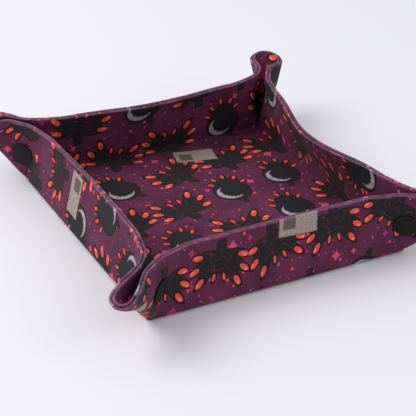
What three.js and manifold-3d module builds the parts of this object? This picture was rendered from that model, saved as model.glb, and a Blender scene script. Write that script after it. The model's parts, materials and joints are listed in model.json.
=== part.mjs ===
// Folding dice tray: a square of two printed fabrics round a stiff core, whose four walls fold up
// from the floor and are held by a plastic snap in each pinched corner.
// Millimetres, +Z up. The origin is the middle of the underside, and the tray stands snapped up.

import * as THREE from 'three';
import { mergeVertices } from 'three/addons/utils/BufferGeometryUtils.js';
import Module from 'manifold-3d';

const wasm = await Module();
wasm.setup();

// Driving dimensions
const FLOOR_SIDE = 140;
const WALL_HEIGHT = 32;
const SHEET_THICKNESS = 3;
const FABRIC_THICKNESS = 0.45;
const GAP = 0.3;
const CORNER_RADIUS = 9;
const WALL_LEAN_IN_DEG = 7;
const CREASE_SLANT_DEG = 22;
const HEM_WIDTH = 2.5;

// Room left at the folds, so that the stiff panels clear each other as they turn
const HINGE_CLEARANCE = 0.2;
const CREASE_CLEARANCE = 1.5;
const DIAGONAL_CLEARANCE = 0.7;
const FLOOR_CORNER_CUT = 2;

// Snap, measured from the sheet's inner face where it says height
const SNAP_RADIUS_FROM_CORNER = 16.2;
const SNAP_ANGLE_DEG = 5;
const CAP_RADIUS = 6.2;
const CAP_EDGE = 0.7;
const CAP_DOME = 0.6;
const PIN_RADIUS = 1.5;
const PIN_HEIGHT = 0.6;
const RING_RADIUS = 3.6;
const SOCKET_BORE_RADIUS = 2.8;
const SOCKET_FLOOR_HEIGHT = 0.7;
const SOCKET_HEIGHT = 1.4;
const STUD_FLANGE_HEIGHT = 1.2;
const STUD_WELL_HEIGHT = 0.9;
const STUD_HEIGHT = 3.2;

const ARC_STEPS = 8;
const ROUND_STEPS = 24;

// Worked out from the above
const HALF_FLOOR = FLOOR_SIDE / 2;
const ARC_CENTRE = WALL_HEIGHT - CORNER_RADIUS;
const SLANT = THREE.MathUtils.degToRad(CREASE_SLANT_DEG);
const WALL_FOLD = THREE.MathUtils.degToRad(90 + WALL_LEAN_IN_DEG);
const FLAP_FOLD = flapFold(WALL_FOLD);
const SNAP_ANGLE = THREE.MathUtils.degToRad(SNAP_ANGLE_DEG);
const SNAP_PLACE = new THREE.Vector2(
  SNAP_RADIUS_FROM_CORNER * Math.sin(SNAP_ANGLE),
  SNAP_RADIUS_FROM_CORNER * Math.cos(SNAP_ANGLE),
);
const HOLE_RADIUS = PIN_RADIUS + GAP;
const FABRIC_EDGE_THICKNESS = (SHEET_THICKNESS - GAP) / 2;

// The three layers of the sheet: where each starts and ends below the inner face
const LAYERS = [
  { name: 'lining', top: 0, bottom: FABRIC_THICKNESS, hemBottom: FABRIC_EDGE_THICKNESS },
  { name: 'core', top: FABRIC_THICKNESS + GAP, bottom: SHEET_THICKNESS - FABRIC_THICKNESS - GAP },
  {
    name: 'cover',
    top: SHEET_THICKNESS - FABRIC_THICKNESS,
    bottom: SHEET_THICKNESS,
    hemTop: SHEET_THICKNESS - FABRIC_EDGE_THICKNESS,
  },
];

const MATERIALS = {
  lining: new THREE.MeshStandardMaterial({ color: 0x4a2038, roughness: 0.85, metalness: 0 }),
  core: new THREE.MeshStandardMaterial({ color: 0xd9d5cc, roughness: 0.95, metalness: 0 }),
  cover: new THREE.MeshStandardMaterial({ color: 0x5a2846, roughness: 0.85, metalness: 0 }),
  snap: new THREE.MeshStandardMaterial({ color: 0x0a0a0b, roughness: 0.45, metalness: 0 }),
};

// How far a corner flap turns about its crease when its wall has turned by wallFold from flat.
// The two flaps of a corner share its diagonal, so that line keeps the same angle to both creases.
function flapFold(wallFold) {
  const crease = new THREE.Vector3(
    -Math.sin(SLANT),
    -Math.cos(SLANT) * Math.cos(wallFold),
    Math.cos(SLANT) * Math.sin(wallFold),
  );
  const across = new THREE.Vector3(
    Math.cos(SLANT),
    -Math.sin(SLANT) * Math.cos(wallFold),
    Math.sin(SLANT) * Math.sin(wallFold),
  );
  const outward = new THREE.Vector3(0, -Math.sin(wallFold), -Math.cos(wallFold));
  // The diagonal is (a, -a, c), of length 1, where a * run + c * rise = reach.
  const run = crease.x - crease.y;
  const rise = crease.z;
  const reach = Math.cos(Math.PI / 4 + SLANT);
  const square = 2 * rise * rise + run * run;
  const root = Math.sqrt(reach * reach * run * run - square * (reach * reach - rise * rise));
  const a = (reach * run + root) / square;
  const diagonal = new THREE.Vector3(a, -a, (reach - a * run) / rise);
  return Math.atan2(diagonal.dot(outward), diagonal.dot(across));
}

function toSolid(geometry) {
  const bare = geometry.clone();
  bare.deleteAttribute('normal');
  bare.deleteAttribute('uv');
  const merged = mergeVertices(bare);
  return new wasm.Manifold(new wasm.Mesh({
    numProp: 3,
    vertProperties: new Float32Array(merged.attributes.position.array),
    triVerts: new Uint32Array(merged.index.array),
  }));
}

function toGeometry(solid) {
  const mesh = solid.getMesh();
  const geometry = new THREE.BufferGeometry();
  geometry.setAttribute('position', new THREE.BufferAttribute(mesh.vertProperties, 3));
  geometry.setIndex(new THREE.BufferAttribute(mesh.triVerts, 1));
  geometry.computeVertexNormals();
  return geometry;
}

// A flat plate that lies between two depths below the sheet's inner face, which is z = 0
function plate(shape, top, bottom) {
  const geometry = new THREE.ExtrudeGeometry(shape, {
    depth: bottom - top,
    bevelEnabled: false,
    curveSegments: ROUND_STEPS / 2,
  });
  return geometry.translate(0, 0, -bottom);
}

// One layer of a panel. A fabric layer is turned in along the finished edge, over its hem.
function layerGeometry(layer, outlines) {
  if (layer.name === 'core') {
    return plate(outlines.core, layer.top, layer.bottom);
  }
  const sheet = plate(outlines.fabric, layer.top, layer.bottom);
  if (!outlines.hem) {
    return sheet;
  }
  const hem = plate(outlines.hem, layer.hemTop ?? layer.top, layer.hemBottom ?? layer.bottom);
  return toGeometry(toSolid(sheet).add(toSolid(hem)));
}

function addPanel(group, name, outlines) {
  for (const layer of LAYERS) {
    const mesh = new THREE.Mesh(layerGeometry(layer, outlines), MATERIALS[layer.name]);
    mesh.name = `${name}_${layer.name}`;
    group.add(mesh);
  }
}

// Outlines run anticlockwise, so that a clockwise hole in them is extruded facing the right way.
function shapeOf(pairs) {
  const points = pairs.map(([x, y]) => new THREE.Vector2(x, y));
  return new THREE.Shape(THREE.ShapeUtils.isClockWise(points) ? points.reverse() : points);
}

function floorOutline() {
  const side = HALF_FLOOR - HINGE_CLEARANCE;
  const cut = side - FLOOR_CORNER_CUT;
  return shapeOf([
    [-cut, -side], [cut, -side], [side, -cut], [side, cut],
    [cut, side], [-cut, side], [-side, cut], [-side, -cut],
  ]);
}

// A wall lies along X with its fold at y = 0, and ends at a crease that slants in towards the top.
function wallOutline(bottom, top) {
  const end = (y) => HALF_FLOOR - (CREASE_CLEARANCE + y * Math.sin(SLANT)) / Math.cos(SLANT);
  return shapeOf([[-end(bottom), bottom], [end(bottom), bottom], [end(top), top], [-end(top), top]]);
}

// A flap is half of a corner, from the crease at its wall's end to the corner's diagonal.
// Its floor corner is (0, 0), and side is 1 or -1 for the end of the wall that it is on.
// inset is how far its finished edge is drawn in, and band asks for the strip along that edge only.
function flapOutline(side, inset, band = 0) {
  const edge = WALL_HEIGHT - inset;
  const radius = CORNER_RADIUS - inset;
  const creaseX = (y) => (CREASE_CLEARANCE - y * Math.sin(SLANT)) / Math.cos(SLANT);
  const rim = (y, r) => {
    const first = Math.PI / 4 + Math.asin(DIAGONAL_CLEARANCE / r);
    const points = [[creaseX(y), y]];
    for (let step = 0; step <= ARC_STEPS; step += 1) {
      const angle = Math.PI / 2 + (first - Math.PI / 2) * (step / ARC_STEPS);
      points.push([ARC_CENTRE + r * Math.cos(angle), ARC_CENTRE + r * Math.sin(angle)]);
    }
    return points;
  };
  const outer = rim(edge, radius);
  let inner;
  if (band > 0) {
    inner = rim(edge - band, radius - band).reverse();
  } else {
    // The apex is where the crease's and the diagonal's clearance lines cross.
    const lift = DIAGONAL_CLEARANCE * Math.SQRT2;
    const x = (CREASE_CLEARANCE - lift * Math.sin(SLANT)) / (Math.cos(SLANT) + Math.sin(SLANT));
    inner = [[x, x + lift]];
  }
  return shapeOf([...outer, ...inner].map(([x, y]) => [side * x, y]));
}

function withSnapHole(shape, side) {
  const hole = new THREE.Path();
  hole.absarc(side * SNAP_PLACE.x, SNAP_PLACE.y, HOLE_RADIUS, 0, 2 * Math.PI, true);
  shape.holes.push(hole);
  return shape;
}

// Turned pieces: the profile's y runs out of the sheet's inner face, along the snap's axis.
function turned(profile) {
  const points = profile.map(([radius, height]) => new THREE.Vector2(radius, height));
  return new THREE.LatheGeometry(points, ROUND_STEPS).rotateX(Math.PI / 2);
}

function capGeometry() {
  const seat = -SHEET_THICKNESS - GAP;
  const dome = [];
  for (let step = 0; step <= ARC_STEPS / 2; step += 1) {
    const along = step / (ARC_STEPS / 2);
    dome.push([CAP_RADIUS * along, seat - CAP_EDGE - CAP_DOME * (1 - along * along)]);
  }
  return turned([...dome, [CAP_RADIUS, seat], [PIN_RADIUS, seat], [PIN_RADIUS, PIN_HEIGHT], [0, PIN_HEIGHT]]);
}

function socketGeometry() {
  return turned([
    [HOLE_RADIUS, GAP], [RING_RADIUS, GAP], [RING_RADIUS, SOCKET_HEIGHT],
    [SOCKET_BORE_RADIUS, SOCKET_HEIGHT], [SOCKET_BORE_RADIUS, SOCKET_FLOOR_HEIGHT],
    [HOLE_RADIUS, SOCKET_FLOOR_HEIGHT], [HOLE_RADIUS, GAP],
  ]);
}

function studGeometry() {
  const profile = [
    [0, STUD_WELL_HEIGHT], [HOLE_RADIUS, STUD_WELL_HEIGHT], [HOLE_RADIUS, GAP],
    [RING_RADIUS, GAP], [RING_RADIUS, STUD_FLANGE_HEIGHT],
  ];
  for (let step = 0; step <= ARC_STEPS; step += 1) {
    const angle = (Math.PI / 2) * (step / ARC_STEPS);
    profile.push([PIN_RADIUS * Math.cos(angle), STUD_HEIGHT - PIN_RADIUS * (1 - Math.sin(angle))]);
  }
  return turned(profile);
}

function addSnap(group, name, side) {
  const holder = new THREE.Group();
  holder.position.set(side * SNAP_PLACE.x, SNAP_PLACE.y, 0);
  const cap = new THREE.Mesh(capGeometry(), MATERIALS.snap);
  cap.name = `${name}_snap_cap`;
  const half = side > 0 ? socketGeometry() : studGeometry();
  const inside = new THREE.Mesh(half, MATERIALS.snap);
  inside.name = side > 0 ? `${name}_snap_socket` : `${name}_snap_stud`;
  holder.add(cap, inside);
  group.add(holder);
}

// A flap turns about its crease, which starts at the floor corner and slants over the wall.
function addFlap(wall, name, side) {
  const onCrease = new THREE.Group();
  onCrease.position.x = side * HALF_FLOOR;
  onCrease.rotation.z = side * SLANT;
  const turn = new THREE.Group();
  turn.rotation.y = side * FLAP_FOLD;
  const flat = new THREE.Group();
  flat.rotation.z = -side * SLANT;
  wall.add(onCrease);
  onCrease.add(turn);
  turn.add(flat);
  addPanel(flat, `${name}_flap`, {
    fabric: withSnapHole(flapOutline(side, 0), side),
    core: withSnapHole(flapOutline(side, HEM_WIDTH + GAP), side),
    hem: flapOutline(side, 0, HEM_WIDTH),
  });
  addSnap(flat, name, side);
}

const tray = new THREE.Group();
addPanel(tray, 'floor', { fabric: floorOutline(), core: floorOutline() });
for (const layer of tray.children) {
  layer.position.z = SHEET_THICKNESS;
}

// Going round the tray, each wall's side 1 end meets the next wall's side -1 end in a corner.
const SIDES = ['front', 'right', 'back', 'left'];
SIDES.forEach((name, index) => {
  const before = SIDES[(index + 3) % 4];
  const after = SIDES[(index + 1) % 4];
  const sideGroup = new THREE.Group();
  sideGroup.rotation.z = Math.PI + index * (Math.PI / 2);
  const wall = new THREE.Group();
  wall.position.set(0, HALF_FLOOR, SHEET_THICKNESS);
  wall.rotation.x = WALL_FOLD;
  sideGroup.add(wall);
  tray.add(sideGroup);
  addPanel(wall, `${name}_wall`, {
    fabric: wallOutline(HINGE_CLEARANCE, WALL_HEIGHT),
    core: wallOutline(HINGE_CLEARANCE, WALL_HEIGHT - HEM_WIDTH - GAP),
    hem: wallOutline(WALL_HEIGHT - HEM_WIDTH, WALL_HEIGHT),
  });
  addFlap(wall, `${name}_${before}`, 1);
  addFlap(wall, `${name}_${after}`, -1);
});

export default tray;
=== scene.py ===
"""Folding dice tray: printed cotton over a stiff core, folded up and snapped at its four corners."""

import json
import math

import bpy
import numpy as np
from mathutils import Matrix, Vector


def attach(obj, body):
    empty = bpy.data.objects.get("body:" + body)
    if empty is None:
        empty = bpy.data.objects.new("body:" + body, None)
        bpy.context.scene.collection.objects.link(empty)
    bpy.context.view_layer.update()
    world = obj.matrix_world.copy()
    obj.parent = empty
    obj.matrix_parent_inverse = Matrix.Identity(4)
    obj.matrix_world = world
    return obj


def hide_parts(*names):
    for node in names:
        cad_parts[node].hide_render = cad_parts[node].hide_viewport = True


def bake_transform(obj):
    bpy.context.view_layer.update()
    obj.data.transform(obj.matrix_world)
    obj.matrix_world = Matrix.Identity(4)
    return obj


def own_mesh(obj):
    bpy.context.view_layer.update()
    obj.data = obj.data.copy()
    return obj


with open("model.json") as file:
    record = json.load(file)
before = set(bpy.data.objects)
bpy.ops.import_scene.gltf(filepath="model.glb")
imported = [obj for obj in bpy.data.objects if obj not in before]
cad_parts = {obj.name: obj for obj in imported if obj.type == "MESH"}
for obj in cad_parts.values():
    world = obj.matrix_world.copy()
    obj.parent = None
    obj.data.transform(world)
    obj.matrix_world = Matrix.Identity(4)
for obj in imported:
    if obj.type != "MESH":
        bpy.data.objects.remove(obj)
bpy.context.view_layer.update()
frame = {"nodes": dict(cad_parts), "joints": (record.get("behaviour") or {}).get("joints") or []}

MM = 0.001
UP = np.array([0.0, 0.0, 1.0])
SIDES = ["front", "right", "back", "left"]

# ---------------------------------------------------------------- sizes, in millimetres
# The folds come from the frame's joints, which lie on the sheet's inner face.
joints = {joint["name"]: joint for joint in frame["joints"]}
front_fold = np.array(joints["front_wall_fold"]["pos_m"]) / MM
HALF_FLOOR = -front_fold[1]
THICKNESS = front_fold[2]
WALL_HEIGHT = 32.0
CORNER_RADIUS = 9.0
FLAT_SIDE = 2 * (HALF_FLOOR + WALL_HEIGHT)

# The layers, by their depth from the inner face, and where the floor's lining and core end.
FABRIC = 0.45
HEM_GAP = 0.3
HEM_THICKNESS = (THICKNESS - HEM_GAP) / 2
HEM_WIDTH = 2.5
CORE_TOP = 0.75
CORE_BOTTOM = THICKNESS - CORE_TOP
CORE_INSET = HEM_WIDTH + HEM_GAP

LINING_PAST_FOLD = 0.3
CORE_PAST_FOLD = -2.5

BEND_LOW = 0.05        # half the width of the bend between a wall and its flap, at the floor
BEND = 10.0            # the same at the rim, where the bend is soft
SPLIT = BEND + 3.0     # where a wall's fabric is parted from its flap's, before the bend
SNAP_OUT = 1.41        # the snap's place in the flat corner, out from it and up from the fold
SNAP_UP = 16.14
SNAP_FLAT_RADIUS = 6.6
SNAP_EASE_RADIUS = 9.5

# The two flaps of a corner meet in a round fold, the nose of the lobe. Places on a lobe are given
# along the diagonal from the floor's corner, and across it, from the fold towards the wall.
NOSE_TAPER = (0.1, 0.25)    # the nose's inner radius at the floor's corner, and its growth from there
NOSE_LOW = 1.3              # its inner radius in the lower part
NOSE_WIDENS = (16, 44)      # where it grows to its radius at the tip, along the diagonal
LOBE_EASE = 13.0            # how far past the nose the flap is flat again
CREASE_EASE = 6.0           # how far past the crease the lobe has its whole shape
NECK_PINCH = 2.4            # how far each flap is drawn in between the nose and the wall
NECK_NEAR = (8, 18)         # where the pinch begins and ends, across the diagonal, and begins along it
NECK_FAR = (23, 38)
NECK_ALONG = (12, 23)
LEAN_ALONG = (22, 42)       # where the tip's lean begins and is whole
# From the front right corner on, anticlockwise: the nose's inner radius at each lobe's tip, and how
# far the tip leans from its neat place.
NOSE_HIGH = [6.0, 8.5, 6.0, 3.6]
LOBE_LEAN = [(1.0, -1.0, 0.5), (-3.0, 1.8, 5.6), (-1.0, 1.0, 0.5), (-5.5, -1.5, -1.2)]
LOBE_ANCHOR = 0.1
WALL_BOW = {"front": 0.5, "right": 11.0, "back": 4.5, "left": 1.5}
BOW_SPAN = 57.0             # half the length of wall that bows inwards
WALL_PUCKER = 0.3           # the height of the cloth's unevenness
FLOOR_PUCKER = 0.25
PUCKER_SHIFT = 37           # moves the unevenness on from one wall to the next
PUCKER_UP = (0, 12)         # where it grows up from a wall's fold, across a diagonal, and on the floor
PUCKER_ACROSS = (2, 12)
PUCKER_INSIDE = (0, 10)

# ---------------------------------------------------------------- the corner's geometry
crease_axis = np.array(joints["front_right_flap_fold"]["axis"])
crease_axis = crease_axis * np.sign(crease_axis[2])
SLANT = math.asin(abs(crease_axis[0]))
WALL_UP = np.array([0.0, crease_axis[1], crease_axis[2]]) / math.cos(SLANT)
WALL_OUT = np.cross([1.0, 0.0, 0.0], WALL_UP)
DIAGONAL_P = math.cos(SLANT) + math.sin(SLANT)
DIAGONAL_Q = math.cos(SLANT) - math.sin(SLANT)


def crease_frame(end):
    """The crease at each given end (1 or -1) of the front wall: along it, and across it outwards."""
    end = np.asarray(end)[..., None]
    along = math.cos(SLANT) * WALL_UP - end * np.array([math.sin(SLANT), 0, 0])
    across = math.sin(SLANT) * WALL_UP + end * np.array([math.cos(SLANT), 0, 0])
    return along, across


def flap_fold():
    """The turn of a flap about its crease that brings its diagonal into the corner's middle plane."""
    along, across = crease_frame(1)
    middle = np.array([1.0, 1.0, 0.0])
    level = -DIAGONAL_Q / DIAGONAL_P * (along @ middle)
    a, b = across @ middle, WALL_OUT @ middle
    turn = math.acos(level / math.hypot(a, b))
    return min(abs(math.atan2(b, a) + turn), abs(math.atan2(b, a) - turn))


FLAP_FOLD = flap_fold()


def flap_frame(end):
    """A folded flap at each given end of the front wall: across its crease, and away from its diagonal."""
    along, across = crease_frame(end)
    turned = np.cos(FLAP_FOLD) * across + np.sin(FLAP_FOLD) * WALL_OUT
    return turned, (DIAGONAL_P * along - DIAGONAL_Q * turned) / math.sqrt(2)


LOBE_HALF_ANGLE = math.asin(abs(flap_frame(1)[1] @ np.array([1.0, 1.0, 0.0])) / math.sqrt(2))
NOSE_TURN = math.pi / 2 - LOBE_HALF_ANGLE
ROLL_TURN = math.acos(WALL_OUT @ -UP)
ROLL_LENGTH = THICKNESS * ROLL_TURN


def smooth(x, low=0.0, high=1.0):
    t = np.clip((x - low) / (high - low), 0, 1)
    return t * t * (3 - 2 * t)


def quarter_turn(points, index):
    """Points of the front side, turned to the side with that index."""
    c, s = [(1, 0), (0, 1), (-1, 0), (0, -1)][index]
    x, y, z = np.moveaxis(points, -1, 0)
    return np.stack([c * x - s * y, s * x + c * y, z], axis=-1)


def nose_radius(tau, end, side):
    """The inner radius of a lobe's round end, tau mm along the diagonal from the floor's corner."""
    index = SIDES.index(side)
    first, growth = NOSE_TAPER
    high = np.where(end > 0, NOSE_HIGH[index], NOSE_HIGH[index - 1])
    nose = NOSE_LOW + (high - NOSE_LOW) * smooth(tau, *NOSE_WIDENS)
    return np.minimum(nose, first + np.maximum(tau, 0) * growth)


def pucker(x, y):
    """The cloth's small unevenness, in mm, over the flat square."""
    waves = [(0.11, 0.05, 0.3), (-0.07, 0.13, 1.9), (0.19, -0.16, 4.1), (0.04, 0.24, 2.6)]
    return sum(np.sin(a * x + b * y + c) for a, b, c in waves) / len(waves)


def corner_place(u, v):
    """The nearer end of the wall (1 or -1), and how far a point is out past it, across its corner's
    diagonal and along that diagonal."""
    end = np.where(u >= 0, 1.0, -1.0)
    out = np.abs(u) - HALF_FLOOR
    return end, out, (v - out) / math.sqrt(2), (v + out) / math.sqrt(2)


def bent_at_crease(p, q):
    """A point p across the crease and q along it, once bent: across, out from the wall, and turned."""
    crease_top = WALL_HEIGHT / math.cos(SLANT)
    band = BEND_LOW + (BEND - BEND_LOW) * np.clip(q / crease_top, 0, 1) ** 0.8
    radius = band / math.tan(FLAP_FOLD / 2)
    angle = FLAP_FOLD * np.clip((p + band) / (2 * band), 0, 1)
    on_bend = (p > -band) & (p < band)
    x = np.where(p <= -band, p, np.where(on_bend, radius * np.sin(angle) - band, p * math.cos(FLAP_FOLD)))
    y = np.where(p <= -band, 0, np.where(on_bend, radius * (1 - np.cos(angle)), p * math.sin(FLAP_FOLD)))
    return x, y, angle


def lobe_shape(s, tau, p, nose, free):
    """How far a lobe's nose and neck move the flap's points out from the flap, and along its slope.

    The nose is a round fold whose inner radius grows along the diagonal. Past it the flaps close up
    again to a neck, and they stay flat round the snap."""
    turn = np.minimum(s / nose, NOSE_TURN)
    inwards, sideways = nose * (1 - np.cos(turn)), nose * np.sin(turn)
    down = inwards * math.cos(LOBE_HALF_ANGLE) + sideways * math.sin(LOBE_HALF_ANGLE)
    lift = sideways * math.cos(LOBE_HALF_ANGLE) - inwards * math.sin(LOBE_HALF_ANGLE)
    past_nose = s - nose * NOSE_TURN
    ease = (1 - smooth(past_nose, 0.0, LOBE_EASE)) * free * smooth(p, 0.0, CREASE_EASE)
    slip = (down - np.minimum(s, nose * NOSE_TURN)) * ease
    neck = smooth(s, *NECK_NEAR) * (1 - smooth(s, *NECK_FAR)) * smooth(tau, *NECK_ALONG)
    return lift * ease - NECK_PINCH * neck * free, slip


def wall_bow(u, v, side):
    """How far a wall bows inwards between its corners, most at the rim."""
    span = np.clip(np.abs(u) / BOW_SPAN, 0, 1)
    return WALL_BOW[side] * np.clip(v / WALL_HEIGHT, 0, 1) ** 1.4 * np.cos(math.pi / 2 * span) ** 2


def inner_face(u, v, side):
    """The sheet's inner face at rest. u runs along the wall from its middle, v up from its fold."""
    index = SIDES.index(side)
    end, out, s, tau = corner_place(u, v)
    p = math.cos(SLANT) * out + math.sin(SLANT) * v
    q = -math.sin(SLANT) * out + math.cos(SLANT) * v
    x, y, angle = bent_at_crease(p, q)
    from_snap = np.hypot(out - SNAP_OUT, v - SNAP_UP)
    free = smooth(from_snap, SNAP_FLAT_RADIUS, SNAP_EASE_RADIUS)
    lift, slip = lobe_shape(s, tau, p, nose_radius(tau, end, side), free)
    uneven = pucker(u + PUCKER_SHIFT * index, -HALF_FLOOR - v)
    wave = WALL_PUCKER * uneven * smooth(v, *PUCKER_UP) * smooth(s, *PUCKER_ACROSS)
    push = lift - wall_bow(u, v, side) + wave * free
    along, across = crease_frame(end)
    _, slope = flap_frame(end)
    normal = np.cos(angle)[..., None] * WALL_OUT - np.sin(angle)[..., None] * across
    corner = np.stack([end * HALF_FLOOR, np.full_like(u, -HALF_FLOOR), np.full_like(u, THICKNESS)], -1)
    leans = [quarter_turn(np.array(LOBE_LEAN[k]), -index % 4) for k in (index, index - 1)]
    lean = np.where(end[..., None] > 0, *leans) * smooth(tau, *LEAN_ALONG)[..., None]
    return (corner + q[..., None] * along + x[..., None] * across + y[..., None] * WALL_OUT
            + push[..., None] * normal + slip[..., None] * slope + lean)


def sheet_point(u, v, depth, side):
    """A point of the sheet, depth mm outwards from its inner face, in the tray's frame."""
    step = 0.02
    along_u = inner_face(u + step, v, side) - inner_face(u - step, v, side)
    along_v = inner_face(u, v + step, side) - inner_face(u, v - step, side)
    normal = np.cross(along_u, along_v)
    normal = normal / np.linalg.norm(normal, axis=-1, keepdims=True)
    return quarter_turn(inner_face(u, v, side) + np.asarray(depth)[..., None] * normal, SIDES.index(side))


# ---------------------------------------------------------------- mesh helpers
def shade_smooth(mesh, sharp):
    """Smooth shading, but for edges sharper than that many degrees."""
    mesh.polygons.foreach_set("use_smooth", [True] * len(mesh.polygons))
    mesh.set_sharp_from_angle(angle=math.radians(sharp))


def make_piece(name, patches, material):
    """One object from closed patches, each (points, places on the flat cloth, share of the painted rim
    highlight, faces).
    """
    points, flats, rims, faces = [], [], [], []
    start = 0
    for patch_points, patch_flats, patch_rims, patch_faces in patches:
        points.append(patch_points.reshape(-1, 3))
        flats.append(patch_flats.reshape(-1, 2))
        rims.append(patch_rims.reshape(-1))
        faces += [[i + start for i in face] for face in patch_faces]
        start += len(points[-1])
    points, flats, rims = np.concatenate(points), np.concatenate(flats), np.concatenate(rims)
    mesh = bpy.data.meshes.new(name)
    mesh.from_pydata((points * MM).tolist(), [], faces)
    mesh.update()
    layer = mesh.uv_layers.new(name="flat")
    corner = np.zeros(len(mesh.loops), np.int32)
    mesh.loops.foreach_get("vertex_index", corner)
    layer.data.foreach_set("uv", (flats[corner] / FLAT_SIDE + 0.5).astype(np.float32).ravel())
    # The crest share of each point, which carries the painted highlight along the rims.
    rim = mesh.attributes.new("rim", "FLOAT", "POINT")
    rim.data.foreach_set("value", rims.astype(np.float32))
    shade_smooth(mesh, sharp=50)
    piece = bpy.data.objects.new(name, mesh)
    bpy.context.scene.collection.objects.link(piece)
    piece.data.materials.append(material)
    return piece


def tube_faces(rows, columns, flip):
    """Faces of a closed loop of rows points swept over columns, with both ends filled."""
    faces = []
    for j in range(columns - 1):
        for i in range(rows):
            k = (i + 1) % rows
            quad = [j * rows + i, (j + 1) * rows + i, (j + 1) * rows + k, j * rows + k]
            faces.append(quad[::-1] if flip else quad)
    first = list(range(rows))
    last = [(columns - 1) * rows + i for i in range(rows)]
    faces += [first[::-1], last] if flip else [first, last[::-1]]
    return faces


# ---------------------------------------------------------------- flat outlines
CORNER_SLOT = 0.003    # the flap starts this share of its height from the floor's corner
# How far past the floor's edge the bend starts, at the fold and at the rim, and where it ends there.
SPLIT_OUT_LOW = -(SPLIT / math.cos(SLANT))
SPLIT_OUT = -(SPLIT + WALL_HEIGHT * math.sin(SLANT)) / math.cos(SLANT)
BEND_OUT = (BEND - WALL_HEIGHT * math.sin(SLANT)) / math.cos(SLANT)
WALL_COLUMNS = 100
BEND_COLUMNS = 24
LOBE_COLUMNS = 30
ARC_COLUMNS = 22
ROLL_COLUMNS = 90
ROLL_STEPS = 13
ROUND_STEPS = 9
FLOOR_LINES = 71


def wall_edge():
    """(bottom points, rim points, rim normals) of a wall's middle, in flat (u, v)."""
    t = np.linspace(-1, 1, WALL_COLUMNS)
    bottom = np.stack([t * (HALF_FLOOR + SPLIT_OUT_LOW), 0 * t], -1)
    top = np.stack([t * (HALF_FLOOR + SPLIT_OUT), 0 * t + WALL_HEIGHT], -1)
    return bottom, top, np.stack([0 * t, 0 * t + 1], -1)


def bend_edge(end):
    """The same for the strip where the wall bends into a flap, from the split line on."""
    out = np.linspace(SPLIT_OUT, BEND_OUT, BEND_COLUMNS)
    share = (out - SPLIT_OUT) / (BEND_OUT - SPLIT_OUT)
    last = CORNER_SLOT * np.array([BEND_OUT, WALL_HEIGHT])
    bottom_out = SPLIT_OUT_LOW * (1 - share) + last[0] * share
    bottom = np.stack([end * (HALF_FLOOR + bottom_out), last[1] * share], -1)
    top = np.stack([end * (HALF_FLOOR + out), 0 * out + WALL_HEIGHT], -1)
    return bottom, top, np.stack([0 * out, 0 * out + 1], -1)


def lobe_edge(end):
    """The same for the rest of the flap, which fans from the floor's corner to the diagonal."""
    centre = WALL_HEIGHT - CORNER_RADIUS
    straight = np.linspace(BEND_OUT, centre, LOBE_COLUMNS)
    arc = np.linspace(math.pi / 2, math.pi / 4, ARC_COLUMNS)[1:]
    out = np.concatenate([straight, centre + CORNER_RADIUS * np.cos(arc)])
    up = np.concatenate([0 * straight + WALL_HEIGHT, centre + CORNER_RADIUS * np.sin(arc)])
    nx = np.concatenate([0 * straight, np.cos(arc)])
    ny = np.concatenate([0 * straight + 1, np.sin(arc)])
    bottom = np.stack([end * (HALF_FLOOR + CORNER_SLOT * out), CORNER_SLOT * up], -1)
    top = np.stack([end * (HALF_FLOOR + out), up], -1)
    return bottom, top, np.stack([end * nx, ny], -1)


LOWER_ROWS = 26
HEM_ROWS = [3.0, 2.5, 2.0, 1.5, 1.1]    # rows near the rim, by their distance in from it
HEM_STEPS = 9                           # rows round the hem's crest
CORE_LOW = 0.05        # the walls' core starts this share of its height above the fold
CLOSED_DEPTH = FABRIC + 0.02    # how near the inner face a cover's closed end reaches
EXTRA_ACROSS = (9, 34)          # where the cover's extra length at a lobe fades, across its diagonal
EXTRA_ALONG = (2, 12)           # and where it grows, along it


def fabric_profile(outer):
    """(share of the height below the hem, distance in from the rim, depth) round a fabric layer."""
    radius = HEM_THICKNESS / 2
    front = [(t, HEM_ROWS[0], 0.0) for t in np.linspace(0, 1, LOWER_ROWS)]
    front += [(1.0, inset, 0.0) for inset in HEM_ROWS[1:]]
    roll = [(1.0, radius * (1 - math.sin(a)), radius * (1 - math.cos(a)))
            for a in np.linspace(0, math.pi, HEM_STEPS)]
    back = [(1.0, HEM_WIDTH, HEM_THICKNESS), (1.0, HEM_WIDTH, FABRIC)]
    back += [(t, HEM_ROWS[0], FABRIC) for t in np.linspace(1, 0, LOWER_ROWS)]
    rows = front + roll + back
    if outer:
        rows = [(share, inset, THICKNESS - depth) for share, inset, depth in rows]
    return rows


def core_profile():
    """The same round the core."""
    rows = [(t, CORE_INSET, CORE_TOP) for t in np.linspace(CORE_LOW, 1, LOWER_ROWS)]
    return rows + [(t, CORE_INSET, CORE_BOTTOM) for t in np.linspace(1, CORE_LOW, LOWER_ROWS)]


def layer_profile(layer):
    return core_profile() if layer == "core" else fabric_profile(layer == "cover")


def print_place(u, v, side, outer):
    """Where a point lies on the flat cloth, in mm from its middle.

    The cover is longer than the lining: by its turn under the fold, and round the nose of a lobe."""
    if outer:
        end, _, s, tau = corner_place(u, v)
        turn = np.clip(s / nose_radius(tau, end, side), 0, NOSE_TURN)
        share = (1 - smooth(s, *EXTRA_ACROSS)) * smooth(tau, *EXTRA_ALONG)
        extra = THICKNESS * turn * share / math.sqrt(2)
        wider = ROLL_LENGTH * np.clip(np.abs(u) / HALF_FLOOR, 0, 1)
        u = u + end * (wider - extra)
        v = v + ROLL_LENGTH + extra
    return quarter_turn(np.stack([u, -HALF_FLOOR - v, 0 * u], -1), SIDES.index(side))[..., :2]


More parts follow.
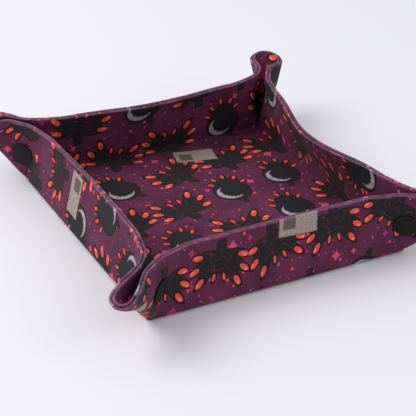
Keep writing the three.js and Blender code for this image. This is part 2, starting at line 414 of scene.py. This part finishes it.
def swept(edge, profile, side, flip, outer=False, closed_end=False):
    """The closed patch of a profile swept along an edge. A closed end covers the core's edge."""
    bottom, top, normal = edge
    share, inset, depth = (np.array(x) for x in zip(*profile))
    rim = top[:, None, :] - inset[None, :, None] * normal[:, None, :]
    flat = bottom[:, None, :] * (1 - share[None, :, None]) + rim * share[None, :, None]
    depth = np.array(np.broadcast_to(depth, flat.shape[:2]))
    if closed_end:
        lower = inset == HEM_ROWS[0]
        depth[-2:, lower] = np.where(depth[0, lower] < THICKNESS, CLOSED_DEPTH, THICKNESS)
    points = sheet_point(flat[..., 0], flat[..., 1], depth, side)
    place = print_place(flat[..., 0], flat[..., 1], side, outer)
    crest = HEM_ROWS[-1]
    # The crest share for the painted rim highlight, 0 below the hem.
    crest_highlight = np.broadcast_to(np.where(share < 1, 0, smooth(crest - inset, 0, crest)), depth.shape)
    return points, place, crest_highlight, tube_faces(len(profile), len(bottom), flip)


def cover_loop(angles):
    """(angle, radius) round a strip of the cover where it turns under a fold."""
    return [(a, THICKNESS) for a in angles] + [(a, THICKNESS - FABRIC) for a in angles[::-1]]


def bottom_roll(side):
    """The cover's turn under a wall's fold, from the wall's outer face to the floor's underside."""
    columns = np.linspace(-HALF_FLOOR, HALF_FLOOR, ROLL_COLUMNS)
    loop = cover_loop(np.linspace(0, ROLL_TURN, ROLL_STEPS))
    points = np.zeros((len(columns), len(loop), 3))
    flat = np.zeros((len(columns), len(loop), 3))
    for i, (angle, radius) in enumerate(loop):
        direction = math.cos(angle) * WALL_OUT - math.sin(angle) * WALL_UP
        points[:, i] = np.array([0, -HALF_FLOOR, THICKNESS]) + radius * direction
        points[:, i, 0] = columns
        left = 1 - angle / ROLL_TURN
        flat[:, i, 0] = columns * (1 + left * ROLL_LENGTH / HALF_FLOOR)
        flat[:, i, 1] = -HALF_FLOOR - left * ROLL_LENGTH
    index = SIDES.index(side)
    points, flat = quarter_turn(points, index), quarter_turn(flat, index)[..., :2]
    return points, flat, np.zeros(points.shape[:2]), tube_faces(len(loop), len(columns), False)


def corner_round(index):
    """The cover's rounded corner at the floor, between the turns under two walls' folds."""
    pole = 0.03    # it stops just short of straight down, where its columns would meet
    columns = np.linspace(0, 1, ROUND_STEPS)
    loop = cover_loop(np.linspace(ROLL_TURN - math.pi / 2, ROLL_TURN - pole, ROUND_STEPS))
    points = np.zeros((len(columns), len(loop), 3))
    next_out = quarter_turn(WALL_OUT, 1)
    for i, share in enumerate(columns):
        level = (1 - share) * WALL_OUT + share * next_out
        level = np.array([level[0], level[1], 0.0]) / np.linalg.norm(level[:2])
        for j, (angle, radius) in enumerate(loop):
            below = ROLL_TURN - angle
            direction = math.sin(below) * level - math.cos(below) * UP
            points[i, j] = np.array([HALF_FLOOR, -HALF_FLOOR, THICKNESS]) + radius * direction
    points = quarter_turn(points, index)
    return points, points[..., :2], np.zeros(points.shape[:2]), tube_faces(len(loop), len(columns), False)


def floor_patch(top, bottom, half):
    """The floor's square between two depths, as a closed grid. Faces near the top are a little uneven."""
    n = FLOOR_LINES
    line = np.linspace(-half, half, n)
    x, y = np.meshgrid(line, line, indexing="ij")
    inside = smooth(half - np.maximum(np.abs(x), np.abs(y)), *PUCKER_INSIDE)
    swell = FLOOR_PUCKER * pucker(x, y) * inside
    upper, lower = (np.stack([x, y, THICKNESS - depth + swell * (depth <= CORE_TOP)], -1)
                    for depth in (top, bottom))
    points = np.concatenate([upper.reshape(-1, 3), lower.reshape(-1, 3)])
    faces = []
    for i in range(n - 1):
        for j in range(n - 1):
            a = i * n + j
            quad = [a, a + n, a + n + 1, a + 1]
            faces.append(quad)
            faces.append([k + n * n for k in quad[::-1]])
    ring = [i * n for i in range(n)] + [(n - 1) * n + j for j in range(1, n)]
    ring += [i * n + n - 1 for i in range(n - 2, -1, -1)] + list(range(n - 2, 0, -1))
    for a, b in zip(ring, ring[1:] + ring[:1]):
        faces.append([a, a + n * n, b + n * n, b])
    return points, points[:, :2], np.zeros(len(points)), faces


# ---------------------------------------------------------------- node helpers
class Nodes:
    """Builds shader nodes with short calls; values may be numbers or sockets."""

    def __init__(self, tree):
        self.tree = tree

    def put(self, socket, value):
        if isinstance(value, bpy.types.NodeSocket):
            self.tree.links.new(value, socket)
        else:
            socket.default_value = value

    def math(self, operation, a, b=0.0, clamp=False):
        node = self.tree.nodes.new("ShaderNodeMath")
        node.operation, node.use_clamp = operation, clamp
        self.put(node.inputs[0], a)
        self.put(node.inputs[1], b)
        return node.outputs[0]

    def vector(self, operation, a, b=None, c=None, out="Vector"):
        node = self.tree.nodes.new("ShaderNodeVectorMath")
        node.operation = operation
        for socket, value in zip(node.inputs, (a, b, c)):
            if value is not None:
                self.put(socket, value)
        return node.outputs[out]

    def placed(self, vector, x, y, turn=0.0, wide=1.0, tall=1.0):
        """The vector seen from a place at (x, y), turned, with wide and tall as its units."""
        node = self.tree.nodes.new("ShaderNodeMapping")
        node.vector_type = "TEXTURE"
        self.put(node.inputs["Vector"], vector)
        node.inputs["Location"].default_value = (x, y, 0)
        node.inputs["Rotation"].default_value = (0, 0, math.radians(turn))
        node.inputs["Scale"].default_value = (wide, tall, 1)
        return node.outputs[0]

    def oval(self, vector, x, y, wide, tall, turn=0.0):
        """1 on the edge of an ellipse, less inside it."""
        return self.vector("LENGTH", self.placed(vector, x, y, turn, wide, tall), out="Value")

    def axes(self, vector):
        """The vector's X, Y and Z as three sockets."""
        node = self.tree.nodes.new("ShaderNodeSeparateXYZ")
        self.put(node.inputs[0], vector)
        return node.outputs

    def box(self, axes, x, y, wide, tall):
        """1 on the edge of a rectangle, less inside it."""
        across = self.math("DIVIDE", self.math("ABSOLUTE", self.math("SUBTRACT", axes[0], x)), wide)
        up = self.math("DIVIDE", self.math("ABSOLUTE", self.math("SUBTRACT", axes[1], y)), tall)
        return self.math("MAXIMUM", across, up)

    def least(self, values):
        """The smallest of several values, each joined in as soon as it is made."""
        found = None
        for value in values:
            found = value if found is None else self.math("MINIMUM", found, value)
        return found

    def ovals(self, vector, places):
        """1 on the edge of the union of ellipses, each (x, y, wide, tall, turn)."""
        return self.least(self.oval(vector, *place) for place in places)

    def inside(self, value, edge=1.0, soft=0.06):
        """1 where value is under edge, 0 where it is over."""
        node = self.tree.nodes.new("ShaderNodeMapRange")
        node.interpolation_type = "SMOOTHSTEP"
        self.put(node.inputs["Value"], value)
        node.inputs["From Min"].default_value = edge + soft
        node.inputs["From Max"].default_value = edge - soft
        return node.outputs[0]

    def ramp(self, value, low, high, to_low=0.0, to_high=1.0):
        node = self.tree.nodes.new("ShaderNodeMapRange")
        self.put(node.inputs["Value"], value)
        for name, number in (("From Min", low), ("From Max", high),
                             ("To Min", to_low), ("To Max", to_high)):
            self.put(node.inputs[name], number)
        return node.outputs[0]

    def mix(self, share, a, b):
        node = self.tree.nodes.new("ShaderNodeMix")
        node.data_type = "RGBA"
        # A mix node has sockets for every type, so those in use are picked from the enabled ones.
        factor, first, second = [socket for socket in node.inputs if socket.enabled]
        self.put(factor, share)
        self.put(first, a)
        self.put(second, b)
        return next(socket for socket in node.outputs if socket.enabled)

    def noise(self, vector, scale, detail=3.0, rough=0.5):
        node = self.tree.nodes.new("ShaderNodeTexNoise")
        self.put(node.inputs["Vector"], vector)
        node.inputs["Scale"].default_value = scale
        node.inputs["Detail"].default_value = detail
        node.inputs["Roughness"].default_value = rough
        return node.outputs["Fac"]

    def grouped(self, group, place):
        """The colour and mask that a motif's group gives at a place."""
        node = self.tree.nodes.new("ShaderNodeGroup")
        node.node_tree = group
        self.put(node.inputs[0], place)
        return node.outputs["Color"], node.outputs["Mask"]

    def bump(self, shader, height, strength, distance):
        node = self.tree.nodes.new("ShaderNodeBump")
        node.inputs["Strength"].default_value = strength
        node.inputs["Distance"].default_value = distance
        self.put(node.inputs["Height"], height)
        self.put(shader.inputs["Normal"], node.outputs[0])


def linear(red, green, blue):
    """A colour given as 0 to 255 in each channel, as Blender's linear RGBA."""
    def one(value):
        value = value / 255
        return value / 12.92 if value <= 0.04045 else ((value + 0.055) / 1.055) ** 2.4
    return (one(red), one(green), one(blue), 1.0)


PLUM = linear(104, 42, 76)
PLUM_DARK = linear(80, 30, 58)
BLACK = linear(20, 19, 22)
BLACK_GREY = linear(38, 37, 41)
OUTLINE = linear(12, 10, 12)
CORAL = linear(232, 84, 66)
CORAL_LIGHT = linear(246, 150, 132)
RUST = linear(120, 44, 34)
PINK = linear(214, 76, 112)
MAGENTA = linear(178, 40, 116)
MAUVE = linear(152, 84, 136)
PAPER = linear(176, 160, 152)
PAPER_DARK = linear(74, 64, 62)
CRESCENT = linear(214, 208, 214)
VIOLET = linear(92, 60, 104)
# A pale mauve painted along the rims' crests as a highlight.
RIM_HIGHLIGHT_PAINT = linear(176, 120, 158)


def motif_group(name, build):
    """A node group with a place in mm as its input, and a colour and a mask as outputs."""
    group = bpy.data.node_groups.new(name, "ShaderNodeTree")
    group.interface.new_socket("Place", in_out="INPUT", socket_type="NodeSocketVector")
    group.interface.new_socket("Color", in_out="OUTPUT", socket_type="NodeSocketColor")
    group.interface.new_socket("Mask", in_out="OUTPUT", socket_type="NodeSocketFloat")
    entry = group.nodes.new("NodeGroupInput")
    exit_node = group.nodes.new("NodeGroupOutput")
    color, mask = build(Nodes(group), entry.outputs[0])
    group.links.new(color, exit_node.inputs["Color"])
    group.links.new(mask, exit_node.inputs["Mask"])
    return group


def fanned(reach, turn, along, wide, tall, aside=0.0):
    """An ellipse lying along a leaf of that reach and turn, from the middle of the fan."""
    a = math.radians(turn)
    x = math.sin(a) * reach * along - math.cos(a) * aside
    y = math.cos(a) * reach * along + math.sin(a) * aside
    return (x, y, wide, tall, -turn)


def build_spray(n, place):
    """A bunch of dark leaves fanned from one stem, each leaf with coral drops near its tip."""
    root = n.placed(place, 0, -9)
    long_leaves = [(-84, 17.5), (-60, 22.0), (-37, 24.0), (37, 24.0), (60, 22.0), (84, 17.5)]
    short_leaves = [(-14, 17.0), (14, 17.0)]
    body = n.ovals(root, [fanned(reach, turn, 0.54, 3.3, reach * 0.5) for turn, reach in long_leaves]
                   + [fanned(reach, turn, 0.56, 2.2, reach * 0.46) for turn, reach in short_leaves]
                   + [(0, 4.0, 6.4, 7.4, 0), (0, -4.0, 3.2, 6.0, 0)])
    shade = n.mix(n.noise(n.vector("MULTIPLY", place, (1.0, 0.25, 1.0)), 1.8, 2.0), BLACK, BLACK_GREY)
    veins = n.inside(n.math("ABSOLUTE", n.math("SUBTRACT", n.noise(place, 0.16, 0.0), 0.5)), 0.007, 0.005)
    color = n.mix(n.math("MULTIPLY", veins, n.inside(body, 0.75)), shade, RUST)
    color = n.mix(n.inside(body, 0.93, 0.03), OUTLINE, color)
    drop = n.ovals(root, [fanned(reach, turn, 0.82, 1.6, 3.2) for turn, reach in long_leaves]
                   + [fanned(reach, turn, 0.8, 0.9, 2.2) for turn, reach in short_leaves])
    color = n.mix(n.inside(drop, 1.28, 0.08), color, OUTLINE)
    color = n.mix(n.inside(drop, 1.0, 0.1), color, CORAL)
    light = n.ovals(root, [fanned(reach, turn, 0.88, 0.5, 1.1, 0.45) for turn, reach in long_leaves])
    color = n.mix(n.inside(light, 1.0, 0.3), color, CORAL_LIGHT)
    return color, n.inside(body, 1.0, 0.035)


def build_pod(n, place):
    """A dark round seed pod with a crown of short leaves, and a thin pale new moon along its side."""
    crown = [(-64, 13.5), (-36, 15.5), (-8, 16.5), (20, 15.5), (48, 13.5)]
    body = n.ovals(place, [fanned(reach, turn, 0.66, 2.6, reach * 0.4) for turn, reach in crown]
                   + [(0, -2.5, 11.5, 10.5, 0), (3.5, -12.0, 2.2, 5.5, 30)])
    shade = n.mix(n.noise(n.vector("MULTIPLY", place, (0.4, 1.0, 1.0)), 1.8, 2.0), BLACK, BLACK_GREY)
    color = n.mix(n.inside(body, 0.93, 0.03), OUTLINE, shade)
    drop = n.ovals(place, [fanned(reach, turn, 0.88, 1.0, 2.0) for turn, reach in crown])
    color = n.mix(n.inside(drop, 1.3, 0.1), color, OUTLINE)
    color = n.mix(n.inside(drop, 1.0, 0.12), color, CORAL)
    ragged = n.math("MULTIPLY", n.math("SUBTRACT", n.noise(place, 0.8, 2.0), 0.5), 0.35)
    moon = n.inside(n.oval(place, -1.6, -4.0, 7.8, 6.8, 0), 1.0, 0.04)
    hollow = n.inside(n.math("ADD", n.oval(place, 0.6, -2.0, 7.6, 6.8, 0), ragged), 1.0, 0.05)
    lit = n.math("MULTIPLY", moon, n.math("SUBTRACT", 1.0, hollow))
    color = n.mix(lit, color, n.mix(n.noise(place, 0.5, 2.0), VIOLET, CRESCENT))
    return color, n.inside(body, 1.0, 0.035)


def build_paper(n, place):
    """A blank scrap of pale, smudged paper with ragged ends and one dark patch on it."""
    ragged = n.math("MULTIPLY", n.math("SUBTRACT", n.noise(place, 0.9, 4.0), 0.5), 0.1)
    axes = n.axes(place)
    outside = n.math("ADD", n.box(axes, 0, 0, 12.0, 6.2), ragged)
    block = n.box(axes, -5.4, -0.9, 3.6, 3.4)
    stain = n.ramp(n.noise(place, 1.3, 5.0, 0.75), 0.42, 0.62)
    color = n.mix(n.math("MULTIPLY", stain, 0.6), PAPER, PAPER_DARK)
    color = n.mix(n.math("MULTIPLY", n.inside(block, 1.0, 0.06), 0.8), color, PAPER_DARK)
    color = n.mix(n.inside(outside, 0.95, 0.03), OUTLINE, color)
    return color, n.inside(outside, 1.0, 0.03)


STAR_POINTS = 0.72     # the power that gives a star its hollow sides
STAR_TILT = 18
# Cell, greatest size, share of cells with a star, turn of the lattice, and three colours.
STARS = [(5.2, 0.75, 0.5, 11, (MAUVE, PINK, CORAL)),
         (9.0, 1.5, 0.55, 31, (PINK, CORAL, MAUVE)),
         (19.0, 3.4, 0.75, -8, (PINK, MAGENTA, PINK))]


def scattered_stars(n, place, ground, cell, size, keep, turn, colors):
    """Four-pointed stars of differing size, one at most in each cell."""
    voronoi = n.tree.nodes.new("ShaderNodeTexVoronoi")
    voronoi.voronoi_dimensions = "2D"
    voronoi.inputs["Scale"].default_value = 1 / cell
    voronoi.inputs["Randomness"].default_value = 0.75
    turned = n.placed(place, 0, 0, turn)
    n.put(voronoi.inputs["Vector"], turned)
    local = n.vector("SUBTRACT", turned, voronoi.outputs["Position"])
    chance = n.tree.nodes.new("ShaderNodeSeparateColor")
    n.put(chance.inputs[0], voronoi.outputs["Color"])
    radius = n.ramp(chance.outputs[0], 0, 1, size * 0.45, size)
    across, up, _ = n.axes(n.vector("ABSOLUTE", n.placed(local, 0, 0, STAR_TILT)))
    arms = n.math("ADD", n.math("POWER", n.math("DIVIDE", across, radius), STAR_POINTS),
                  n.math("POWER", n.math("DIVIDE", up, radius), STAR_POINTS))
    there = n.math("LESS_THAN", chance.outputs[1], keep)
    mask = n.math("MULTIPLY", n.inside(arms, 1.0, 0.1), there)
    color = n.mix(n.math("GREATER_THAN", chance.outputs[2], 0.45), colors[0], colors[1])
    color = n.mix(n.math("GREATER_THAN", chance.outputs[2], 0.8), color, colors[2])
    return n.mix(mask, ground, color)


def cell_places(n, place, pitch):
    """The place seen from the middle of its brick-laid cell, and three random numbers for the cell."""
    x, y, _ = n.axes(place)
    row = n.math("FLOOR", n.math("DIVIDE", y, pitch[1]))
    shift = n.math("MULTIPLY", n.math("FLOORED_MODULO", row, 2.0), 0.5)
    across = n.math("ADD", n.math("DIVIDE", x, pitch[0]), shift)
    column = n.math("FLOOR", across)
    local_x = n.math("MULTIPLY", n.math("SUBTRACT", n.math("FRACT", across), 0.5), pitch[0])
    up = n.math("FRACT", n.math("DIVIDE", y, pitch[1]))
    local_y = n.math("MULTIPLY", n.math("SUBTRACT", up, 0.5), pitch[1])
    local, cell = (n.tree.nodes.new("ShaderNodeCombineXYZ") for _ in range(2))
    for node, first, second in ((local, local_x, local_y), (cell, column, row)):
        n.put(node.inputs[0], first)
        n.put(node.inputs[1], second)
    white = n.tree.nodes.new("ShaderNodeTexWhiteNoise")
    white.noise_dimensions = "2D"
    n.put(white.inputs["Vector"], cell.outputs[0])
    return local.outputs[0], n.axes(white.outputs["Color"])


MOTIF_PITCH = (34.0, 31.0)
MOTIF_SCALE = 0.92
MOTIF_TILT = math.radians(32)
SPRAY_SHARE = 0.52     # the share of the motifs that are leaf sprays; the others are pods
SCRAP_PITCH = 110.0


def motifs(n, place, ground):
    """A leaf spray or a pod in each cell, each a little turned by chance."""
    local, chance = cell_places(n, place, MOTIF_PITCH)
    rotate = n.tree.nodes.new("ShaderNodeVectorRotate")
    rotate.rotation_type = "Z_AXIS"
    n.put(rotate.inputs["Vector"], local)
    n.put(rotate.inputs["Angle"], n.ramp(chance[0], 0, 1, -MOTIF_TILT, MOTIF_TILT))
    own = n.placed(rotate.outputs[0], 0, 0, 0, MOTIF_SCALE, MOTIF_SCALE)
    spray, spray_mask = n.grouped(SPRAY, own)
    is_pod = n.math("GREATER_THAN", chance[1], SPRAY_SHARE)
    color = n.mix(n.math("MULTIPLY", spray_mask, n.math("SUBTRACT", 1.0, is_pod)), ground, spray)
    pod, pod_mask = n.grouped(POD, own)
    return n.mix(n.math("MULTIPLY", pod_mask, is_pod), color, pod)


def scraps(n, place, ground, x, y, turn):
    """Paper scraps over a wide lattice, laid over the ground colour."""
    half = SCRAP_PITCH / 2
    shifted = n.vector("SUBTRACT", place, (x, y, 0))
    wrapped = n.vector("WRAP", shifted, (half, half, 1), (-half, -half, -1))
    color, mask = n.grouped(PAPER_SCRAP, n.placed(wrapped, 0, 0, turn))
    return n.mix(mask, ground, color)


def print_color(n, place, scrap):
    """The print: mottled plum, stars, dark leaf sprays and pods, and paper scraps."""
    color = n.mix(n.ramp(n.noise(place, 0.06, 4.0, 0.6), 0.35, 0.65), PLUM_DARK, PLUM)
    for star in STARS:
        color = scattered_stars(n, place, color, *star)
    return scraps(n, place, motifs(n, place, color), *scrap)


THREAD_PITCH = 0.5


def build_cotton(n, shader, shift, turn, scrap):
    """Printed cotton in plain weave. The print is shifted and turned on the cloth."""
    uv = n.tree.nodes.new("ShaderNodeUVMap")
    uv.uv_map = "flat"
    flat = n.vector("SCALE", n.vector("SUBTRACT", uv.outputs[0], (0.5, 0.5, 0)))
    flat.node.inputs["Scale"].default_value = FLAT_SIDE
    color = print_color(n, n.placed(flat, shift[0], shift[1], turn), scrap)
    thread = 2 * math.pi / THREAD_PITCH
    warp, weft = (n.math("SINE", n.math("MULTIPLY", axis, thread)) for axis in n.axes(flat)[:2])
    weave = n.math("MULTIPLY", warp, weft)
    slub = n.noise(n.vector("MULTIPLY", flat, (1.0, 0.15, 1.0)), 1.6, 3.0)
    height = n.math("ADD", n.math("MULTIPLY", weave, 0.5), n.math("MULTIPLY", slub, 0.9))
    tone = n.ramp(n.math("ADD", n.math("MULTIPLY", weave, 0.05), slub), 0.2, 0.8, 0.86, 1.12)
    color = n.vector("SCALE", color)
    n.put(color.node.inputs["Scale"], tone)
    # The turned-in edges have a painted highlight along their crest, paler in patches, and are smoother
    # there.
    rim = n.tree.nodes.new("ShaderNodeAttribute")
    rim.attribute_name = "rim"
    # Painted highlight: a patchy paler mauve laid on the crest.
    painted_rim_highlight = n.math("MULTIPLY", rim.outputs["Fac"], n.ramp(n.noise(flat, 0.3, 3.0), 0.35, 0.7, 0.15, 0.5))
    n.put(shader.inputs["Base Color"], n.mix(painted_rim_highlight, color, RIM_HIGHLIGHT_PAINT))
    n.put(shader.inputs["Roughness"], n.ramp(rim.outputs["Fac"], 0, 1, 0.78, 0.5))
    n.bump(shader, height, 0.35, 0.12 * MM)
    shader.inputs["Sheen Weight"].default_value = 0.04
    shader.inputs["Sheen Roughness"].default_value = 0.5
    shader.inputs["Specular IOR Level"].default_value = 0.22


def build_core(n, shader):
    """Pressed white felt stiffener."""
    coords = n.tree.nodes.new("ShaderNodeTexCoord").outputs["Object"]
    fibres = n.noise(coords, 900, 4.0, 0.7)
    n.put(shader.inputs["Base Color"], n.mix(fibres, linear(205, 200, 190), linear(232, 229, 222)))
    shader.inputs["Roughness"].default_value = 0.95
    n.bump(shader, fibres, 0.4, 0.1 * MM)


def build_snap(n, shader):
    """Matt black moulded plastic, with a faint moulding grain and small scuffs."""
    coords = n.tree.nodes.new("ShaderNodeTexCoord").outputs["Object"]
    grain = n.noise(coords, 2600, 3.0, 0.6)
    scuffs = n.noise(n.vector("MULTIPLY", coords, (1, 3, 1)), 500, 5.0, 0.7)
    color = n.mix(n.ramp(scuffs, 0.55, 0.8, 0, 0.5), linear(6, 6, 7), linear(20, 20, 22))
    n.put(shader.inputs["Base Color"], color)
    n.put(shader.inputs["Roughness"], n.ramp(scuffs, 0.35, 0.75, 0.55, 0.72))
    shader.inputs["Specular IOR Level"].default_value = 0.25
    n.bump(shader, grain, 0.25, 0.08 * MM)


def make_material(name, build, *details):
    material = bpy.data.materials.new(name)
    material.use_nodes = True
    build(Nodes(material.node_tree), material.node_tree.nodes["Principled BSDF"], *details)
    return material


SPRAY = motif_group("spray", build_spray)
POD = motif_group("pod", build_pod)
PAPER_SCRAP = motif_group("paper_scrap", build_paper)
LAYERS = ["lining", "core", "cover"]
# Each cotton with its print's shift and turn, and the place and turn of a paper scrap on it.
CLOTHS = {"lining": make_material("printed_cotton_lining", build_cotton, (6, -4), 8, (22, 55, -20)),
          "core": make_material("core_felt", build_core),
          "cover": make_material("printed_cotton_cover", build_cotton, (21, 15), -4, (-4, -9, 7))}
SNAP_PLASTIC = make_material("snap_plastic", build_snap)


def add_wall(side):
    """A wall's middle, whose cover turns under the fold to meet the floor's."""
    edge = wall_edge()
    body = f"{side}_wall"
    for layer in LAYERS:
        patches = [swept(edge, layer_profile(layer), side, layer != "cover", layer == "cover")]
        if layer == "cover":
            patches.append(bottom_roll(side))
        piece = make_piece(f"{body}_{layer}_sheet", patches, CLOTHS[layer])
        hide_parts(f"{body}_{layer}")
        if layer == "cover":
            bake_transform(piece)
        else:
            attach(piece, body)


def add_bend(side, other, end):
    """The strip of each layer that bends between a wall and its flap."""
    edge = bend_edge(end)
    wall, body = f"{side}_wall", f"{side}_{other}_flap"
    for layer in LAYERS:
        columns = tuple(points[:-1] for points in edge) if layer == "core" else edge
        flip = (layer != "cover") == (end > 0)
        patches = [swept(columns, layer_profile(layer), side, flip, layer == "cover")]
        piece = make_piece(f"{body}_{layer}_bend", patches, CLOTHS[layer])
        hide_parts(f"{body}_{layer}")
        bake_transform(piece)


def add_lobe(side, other, end):
    """The rest of each layer of a flap, out to its rounded corner, attached to the flap's body."""
    edge = lobe_edge(end)
    body = f"{side}_{other}_flap"
    _, across = crease_frame(end)
    normal = math.cos(FLAP_FOLD) * WALL_OUT - math.sin(FLAP_FOLD) * across
    anchor = np.array([end * HALF_FLOOR, -HALF_FLOOR, THICKNESS]) + LOBE_ANCHOR * normal
    normal, anchor = (quarter_turn(point, SIDES.index(side)) for point in (normal, anchor))
    for layer in LAYERS:
        columns = tuple(points[1:-3] for points in edge) if layer == "core" else edge
        flip = (layer != "cover") == (end > 0)
        patches = [swept(columns, layer_profile(layer), side, flip, layer == "cover", layer == "cover")]
        piece = make_piece(f"{body}_{layer}_sheet", patches, CLOTHS[layer])
        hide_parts(f"{body}_{layer}")
        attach(piece, body)
        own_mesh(piece)


def add_floor():
    """The floor's three layers. Its lining runs a little way past the fold, and its core stops before it."""
    for layer, top, bottom, past_fold in (("lining", 0, FABRIC, LINING_PAST_FOLD),
                                          ("core", CORE_TOP, CORE_BOTTOM, CORE_PAST_FOLD),
                                          ("cover", THICKNESS - FABRIC, THICKNESS, 0)):
        patches = [floor_patch(top, bottom, HALF_FLOOR + past_fold)]
        if layer == "cover":
            patches += [corner_round(index) for index in range(len(SIDES))]
        piece = make_piece(f"floor_{layer}_sheet", patches, CLOTHS[layer])
        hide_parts(f"floor_{layer}")
        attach(piece, "floor")


def finish_snaps():
    """The snaps stay as the CAD has them, in moulded plastic."""
    for name, node in frame["nodes"].items():
        if "_snap_" in name:
            node.data.materials.clear()
            node.data.materials.append(SNAP_PLASTIC)
            shade_smooth(node.data, sharp=35)


add_floor()
for index, side in enumerate(SIDES):
    add_wall(side)
    for other, end in ((SIDES[index - 1], -1), (SIDES[(index + 1) % 4], 1)):
        add_bend(side, other, end)
        add_lobe(side, other, end)
finish_snaps()


# ---------------------------------------------------------------- stage, light and camera
def add_stage():
    """A plain pale table."""
    size = 6.0
    mesh = bpy.data.meshes.new("table")
    corners = [(-size, -size, 0), (size, -size, 0), (size, size, 0), (-size, size, 0)]
    mesh.from_pydata(corners, [], [(0, 1, 2, 3)])
    table = bpy.data.objects.new("table", mesh)
    bpy.context.scene.collection.objects.link(table)
    material = bpy.data.materials.new("table_white")
    material.use_nodes = True
    shader = material.node_tree.nodes["Principled BSDF"]
    shader.inputs["Base Color"].default_value = linear(238, 238, 243)
    shader.inputs["Roughness"].default_value = 0.6
    mesh.materials.append(material)


def add_softbox(name, place, size, power, color):
    """A soft rectangular light that faces the tray."""
    light = bpy.data.lights.new(name, "AREA")
    light.shape = "RECTANGLE"
    light.size, light.size_y = size
    light.energy = power
    light.color = color
    lamp = bpy.data.objects.new(name, light)
    lamp.location = place
    lamp.rotation_euler = (-Vector(place)).to_track_quat("-Z", "Y").to_euler()
    bpy.context.scene.collection.objects.link(lamp)


def add_world(strength):
    """Even, faintly cool light from all round."""
    world = bpy.data.worlds.new("studio")
    world.use_nodes = True
    background = world.node_tree.nodes["Background"]
    background.inputs["Color"].default_value = (0.965, 0.97, 1.0, 1)
    background.inputs["Strength"].default_value = strength
    bpy.context.scene.world = world


def add_camera():
    """Looks at the tray from above its front left, a little rolled."""
    azimuth, elevation, roll = (math.radians(x) for x in (30.55, 30.88, 3.30))
    target = Vector((-10.45, -15.96, 15.0)) * MM
    distance = 702.5 * MM
    ahead = Vector((math.sin(azimuth) * math.cos(elevation),
                    math.cos(azimuth) * math.cos(elevation), -math.sin(elevation)))
    data = bpy.data.cameras.new("camera")
    data.sensor_width = 36
    data.lens = 121.5
    data.clip_start = 0.05
    camera = bpy.data.objects.new("camera", data)
    turn = ahead.to_track_quat("-Z", "Y").to_matrix() @ Matrix.Rotation(roll, 3, "Z")
    camera.matrix_world = Matrix.Translation(target - ahead * distance) @ turn.to_4x4()
    bpy.context.scene.collection.objects.link(camera)
    bpy.context.scene.camera = camera


add_stage()
add_world(0.63)
add_softbox("key", place=(-0.9, 0.5, 1.1), size=(0.9, 0.9), power=13, color=(1.0, 0.98, 0.97))
add_softbox("fill", place=(0.7, -1.0, 1.0), size=(1.2, 0.8), power=3, color=(0.95, 0.97, 1.0))
add_camera()
bpy.context.scene.view_settings.view_transform = "Standard"
